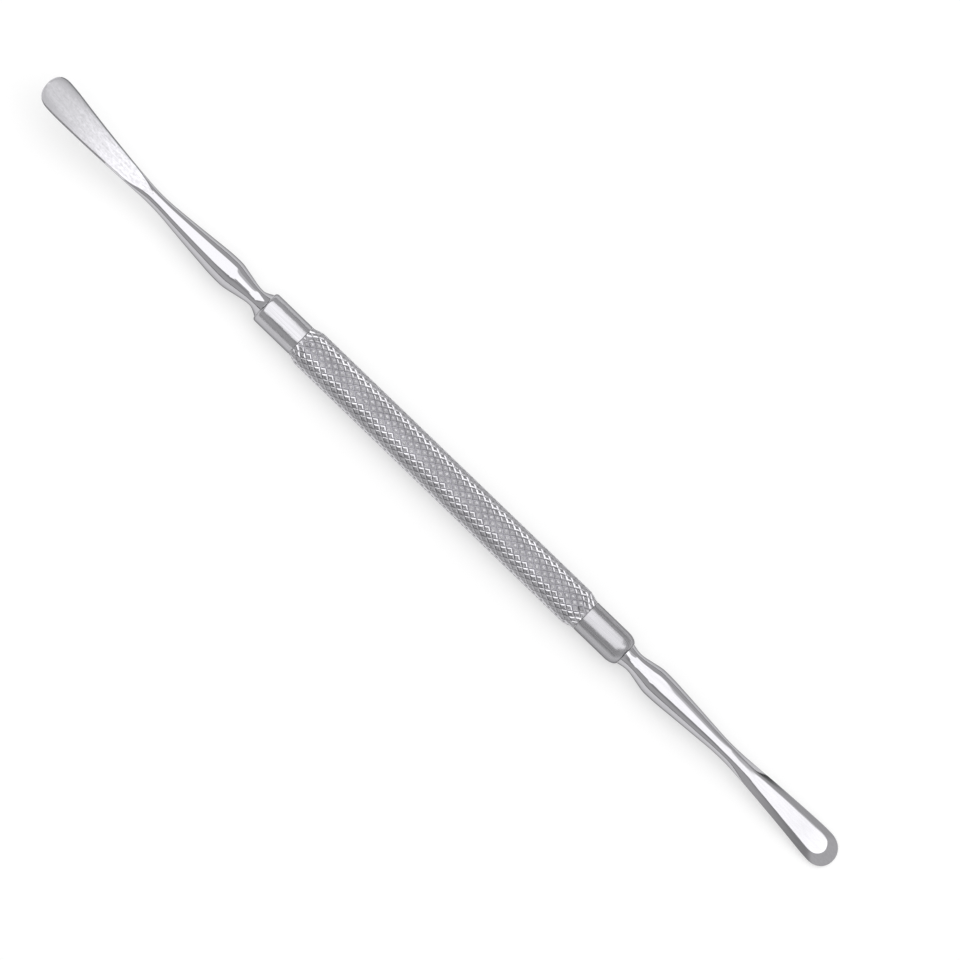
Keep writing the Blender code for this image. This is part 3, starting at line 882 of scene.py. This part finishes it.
    def stations(self):
        """Places along the blade where its form is set, closer together where it turns fast."""
        s = self.sizes
        stretches = (
            (SEAT_GAP, s.waist_at, FOOT_STEPS), (s.waist_at, s.bulb_at, BULB_STEPS),
            (s.bulb_at, s.neck_at, TAPER_STEPS), (s.neck_at, s.face_at, LEAD_STEPS),
            (s.face_at, self.face_full_at, RUN_IN_STEPS),
            (self.face_full_at, self.tip_at, BLADE_STEPS),
        )
        places = []
        for start, end, steps in stretches:
            places += [start + (end - start) * step / steps for step in range(steps)]
        places += [self.tip_at + s.tip_length * math.sin(math.pi / 2 * step / TIP_STEPS)
                   for step in range(TIP_STEPS + 1)]
        return places

    def tang(self, x):
        """The round cross-section of the tang at x, with as many points as the blade's own."""
        angles = around(math.pi / 2) + [math.pi / 2] * (FACE_STEPS + 1)
        return [(x, self.tang_radius * math.cos(angle), self.tang_radius * math.sin(angle))
                for angle in angles]

    def skin(self):
        """A bmesh of the whole piece, with its ground face and margins marked for the finish."""
        rings = [self.tang(-self.TANG_LENGTH), self.tang(SEAT_GAP)]
        rings += [self.section(x) for x in self.stations()]
        data = bmesh.new()
        ground = data.verts.layers.float.new("ground")
        margin = data.verts.layers.float.new("margin")
        rows = [[data.verts.new(point) for point in ring] for ring in rings]
        count = len(rows[0])
        for row in rows:
            for step, vert in enumerate(row[-FACE_STEPS - 1:]):
                vert[ground] = float(vert.co.x > self.sizes.face_at)
                vert[margin] = abs(2 * step / FACE_STEPS - 1)
        for row, following in zip(rows, rows[1:]):
            for index in range(count):
                after = (index + 1) % count
                data.faces.new((row[index], row[after], following[after], following[index]))
        data.faces.new(rows[0])
        data.faces.new(rows[-1])
        return data


def around(corner):
    """Angles round a section's back, between its corners: down one flank, under, up the other."""
    flank = [corner * (1 - step / FLANK_STEPS) for step in range(FLANK_STEPS)]
    under = [-math.pi * step / BACK_STEPS for step in range(BACK_STEPS + 1)]
    return flank + under + [-math.pi - angle for angle in reversed(flank)]


def placed_blade(scene, sizes, collar_face, tip, about):
    """A bmesh of a blade, turned about an axis and set between its collar's face and its tip."""
    tang = scene.spatula_collars.socket_radius - FIT_GAP
    data = Blade(sizes, abs(tip - collar_face), tang).skin()
    bmesh.ops.transform(data, matrix=half_turn(collar_face, about), verts=data.verts[:])
    return data


class SPATULA_OT_spatula(bpy.types.Operator):
    """Form the spatula, with its shank and its straight-ground face"""
    bl_idname = "spatula.spatula"
    bl_label = "Spatula"

    def execute(self, context):
        scene = context.scene
        collar_face = GRIP_START - scene.spatula_collars.spatula_length
        data = placed_blade(scene, scene.spatula_spatula, collar_face, SPATULA_TIP, "Z")
        steel = brushed_steel(scene.spatula_steel)
        stand_for(new_piece("spatula", data, steel), "spatula_blade")
        return {"FINISHED"}


class SPATULA_OT_pusher(bpy.types.Operator):
    """Form the pusher, with its shank, its crowned back and its hollow underside"""
    bl_idname = "spatula.pusher"
    bl_label = "Pusher"

    def execute(self, context):
        scene = context.scene
        collar_face = GRIP_END + scene.spatula_collars.pusher_length
        data = placed_blade(scene, scene.spatula_pusher, collar_face, PUSHER_TIP, "X")
        steel = polished_steel(scene.spatula_steel)
        stand_for(new_piece("pusher", data, steel), "pusher_blade")
        return {"FINISHED"}


# The stage. The camera aims at the middle of the tool as the photograph frames it.
AIM = Vector((4.916 * MM, 3.38 * MM, 3.976 * MM))
SENSOR_WIDTH = 36.0
CLIP_SHARE = 4

FLOOR_HALF = 3.0
FLOOR_ROUGHNESS = 0.9
FLOOR_GLOW = 0.5

# Where the room's bands end, from the horizon at 0 to straight overhead at 1, and where its
# wall at the pusher's end begins and is full, as shares of the way to that end
SKIRTING_TOP, RAIL_FOOT, RAIL_TOP, WALLS_FOOT = 0.02, 0.03, 0.06, 0.12
WALLS_TOP, CEILING_EDGE = 0.56, 0.68
WINDOW_START, WINDOW_FULL = 0.3, 0.6

# The softbox is turned with the camera. Places on it are in lamp heights, along the picture
# and across it, from the point over the origin. What shines is a board that leaves the near
# side dark but for a short wing. Its far edge slants, and its right corner is dimmed, past an
# edge that leans outwards beyond a bend.
SOFTBOX_HEIGHT = 0.9
SOFTBOX_LEFT, SOFTBOX_RIGHT, SOFTBOX_NEAR, SOFTBOX_FAR = -0.92, 1.1, -0.7, 1.55
BOARD_NEAR, BOARD_RIGHT, BOARD_SOFTNESS = -0.53, 1.05, 0.05
BOARD_FAR, BOARD_FAR_SLANT, BOARD_FAR_SOFTNESS = 1.2, 0.46, 0.1
WING_LEFT, WING_RIGHT = -0.45, -0.08
CORNER_NEAR, CORNER_LEFT, CORNER_BEND, CORNER_SLANT = -0.1, 0.55, 0.25, 0.75
CORNER_LEVEL = 0.3


def lay_floor(look):
    """A plain matt floor, whose own glow keeps it pale to the camera and in the steel."""
    mesh = bpy.data.meshes.new("floor")
    corners = [(x * FLOOR_HALF, y * FLOOR_HALF, 0)
               for x, y in ((-1, -1), (1, -1), (1, 1), (-1, 1))]
    mesh.from_pydata(corners, [], [(0, 1, 2, 3)])
    floor = new_object("floor", mesh)
    paint = bpy.data.materials.new("floor_paint")
    paint.use_nodes = True
    tree = paint.node_tree
    shader = tree.nodes["Principled BSDF"]
    shader.inputs["Base Color"].default_value = opaque(look.floor)
    shader.inputs["Roughness"].default_value = FLOOR_ROUGHNESS
    shader.inputs["Specular IOR Level"].default_value = 0.0
    board = Board(tree)
    path = board.add("ShaderNodeLightPath")
    seen = [board.signal(path, f"Is {kind} Ray") for kind in ("Camera", "Glossy", "Transmission")]
    white = board.add("ShaderNodeEmission", {"Color": opaque((1, 1, 1)), "Strength": 1.0})
    mixed = board.add("ShaderNodeMixShader", {"Fac": sum(seen) * FLOOR_GLOW})
    tree.links.new(shader.outputs[0], mixed.inputs[1])
    tree.links.new(white.outputs[0], mixed.inputs[2])
    tree.links.new(mixed.outputs[0], tree.nodes["Material Output"].inputs["Surface"])
    mesh.materials.append(paint)


def paint_room(look):
    """A plain room that lights the tool evenly, with the bands that the steel reflects."""
    world = bpy.data.worlds.new("room")
    world.use_nodes = True
    board = Board(world.node_tree)
    towards_end, _, upwards = board.parts(board.take("ShaderNodeTexCoord", output="Generated"))
    bands = board.take("ShaderNodeValToRGB", {"Fac": upwards}, stops=(
        (0.0, look.skirting), (SKIRTING_TOP, look.skirting),
        (RAIL_FOOT, look.rail), (RAIL_TOP, look.rail),
        (WALLS_FOOT, look.walls), (WALLS_TOP, look.walls),
        (CEILING_EDGE, look.ceiling), (1.0, look.ceiling),
    ))
    window = board.span(towards_end, WINDOW_START, WINDOW_FULL)
    join(board.tree, board.blend(window, bands, opaque((look.window,) * 3)),
         board.tree.nodes["Background"].inputs["Color"])
    bpy.context.scene.world = world


def softbox_light(board):
    """How bright the softbox is at each place on it, from 0 to 1."""
    along, across, _ = board.parts(board.take("ShaderNodeNewGeometry", output="Parametric"))
    x = SOFTBOX_LEFT + along * (SOFTBOX_RIGHT - SOFTBOX_LEFT)
    y = SOFTBOX_NEAR + across * (SOFTBOX_FAR - SOFTBOX_NEAR)
    on_board = board.over(y, BOARD_NEAR, BOARD_SOFTNESS)
    left = WING_LEFT * (1 - on_board) + SOFTBOX_LEFT * on_board
    right = WING_RIGHT * (1 - on_board) + BOARD_RIGHT * on_board
    corner_left = CORNER_LEFT + (y - CORNER_BEND).at_least(0.0) * CORNER_SLANT
    corner = (board.over(y, CORNER_NEAR, BOARD_SOFTNESS)
              * board.over(x, corner_left, BOARD_SOFTNESS))
    far = BOARD_FAR - x * BOARD_FAR_SLANT
    return (board.over(x, left, BOARD_SOFTNESS) * board.over(right, x, BOARD_SOFTNESS)
            * board.over(far, y, BOARD_FAR_SOFTNESS) * (1 - corner * (1 - CORNER_LEVEL)))


def hang_softbox(look):
    """One large lamp overhead, whose shape shows as the highlights on the steel."""
    lamp = bpy.data.lights.new("softbox", "AREA")
    lamp.shape = "RECTANGLE"
    lamp.size = SOFTBOX_HEIGHT * (SOFTBOX_RIGHT - SOFTBOX_LEFT)
    lamp.size_y = SOFTBOX_HEIGHT * (SOFTBOX_FAR - SOFTBOX_NEAR)
    lamp.energy = look.softbox * math.pi * lamp.size * lamp.size_y
    lamp.use_nodes = True
    join(lamp.node_tree, softbox_light(Board(lamp.node_tree)),
         lamp.node_tree.nodes["Emission"].inputs["Color"])
    softbox = new_object("softbox", lamp)
    centre = Vector(((SOFTBOX_LEFT + SOFTBOX_RIGHT) / 2, (SOFTBOX_NEAR + SOFTBOX_FAR) / 2, 1.0))
    softbox.matrix_world = (Matrix.Rotation(look.roll, 4, "Z")
                            @ Matrix.Translation(centre * SOFTBOX_HEIGHT))
    softbox.visible_camera = False


def set_camera(look):
    """A long lens over the tool, rolled so that the handle runs down to the right."""
    lens = bpy.data.cameras.new("camera")
    lens.sensor_width = SENSOR_WIDTH
    lens.lens = SENSOR_WIDTH * look.distance / look.view_width
    lens.clip_end = CLIP_SHARE * look.distance
    camera = new_object("camera", lens)
    away = Vector((math.sin(look.azimuth) * math.cos(look.elevation),
                   -math.cos(look.azimuth) * math.cos(look.elevation),
                   math.sin(look.elevation)))
    camera.location = AIM + away * look.distance
    camera.rotation_mode = "QUATERNION"
    level = (-away).to_track_quat("-Z", "Y")
    camera.rotation_quaternion = level @ Quaternion((0, 0, 1), look.roll)
    bpy.context.scene.camera = camera


class SPATULA_OT_stage(bpy.types.Operator):
    """Lay the floor, light the room and set the camera"""
    bl_idname = "spatula.stage"
    bl_label = "Stage"

    def execute(self, context):
        look = context.scene.spatula_stage
        context.scene.view_settings.view_transform = "Standard"
        lay_floor(look)
        paint_room(look)
        hang_softbox(look)
        set_camera(look)
        return {"FINISHED"}


class SPATULA_PT_tool(bpy.types.Panel):
    """The pieces of the tool and their sizes"""
    bl_idname = "SPATULA_PT_tool"
    bl_label = "Manicure Spatula"
    bl_space_type = "VIEW_3D"
    bl_region_type = "UI"
    bl_category = "Spatula"

    def draw(self, context):
        for operator in OPERATORS:
            self.layout.operator(operator.bl_idname)
        for attribute in GROUPS:
            group = getattr(context.scene, attribute)
            box = self.layout.box()
            box.label(text=group.__doc__)
            for key in group.__annotations__:
                box.prop(group, key)


OPERATORS = (SPATULA_OT_grip, SPATULA_OT_collars, SPATULA_OT_spatula, SPATULA_OT_pusher,
             SPATULA_OT_stage)
CLASSES = tuple(GROUPS.values()) + OPERATORS + (SPATULA_PT_tool,)


def register():
    for cls in CLASSES:
        bpy.utils.register_class(cls)
    for attribute, group in GROUPS.items():
        setattr(bpy.types.Scene, attribute, PointerProperty(type=group))


def unregister():
    for attribute in GROUPS:
        delattr(bpy.types.Scene, attribute)
    for cls in reversed(CLASSES):
        bpy.utils.unregister_class(cls)


def main():
    register()
    bpy.ops.spatula.grip()
    bpy.ops.spatula.collars()
    bpy.ops.spatula.spatula()
    bpy.ops.spatula.pusher()
    bpy.ops.spatula.stage()


if __name__ == "__main__":
    main()
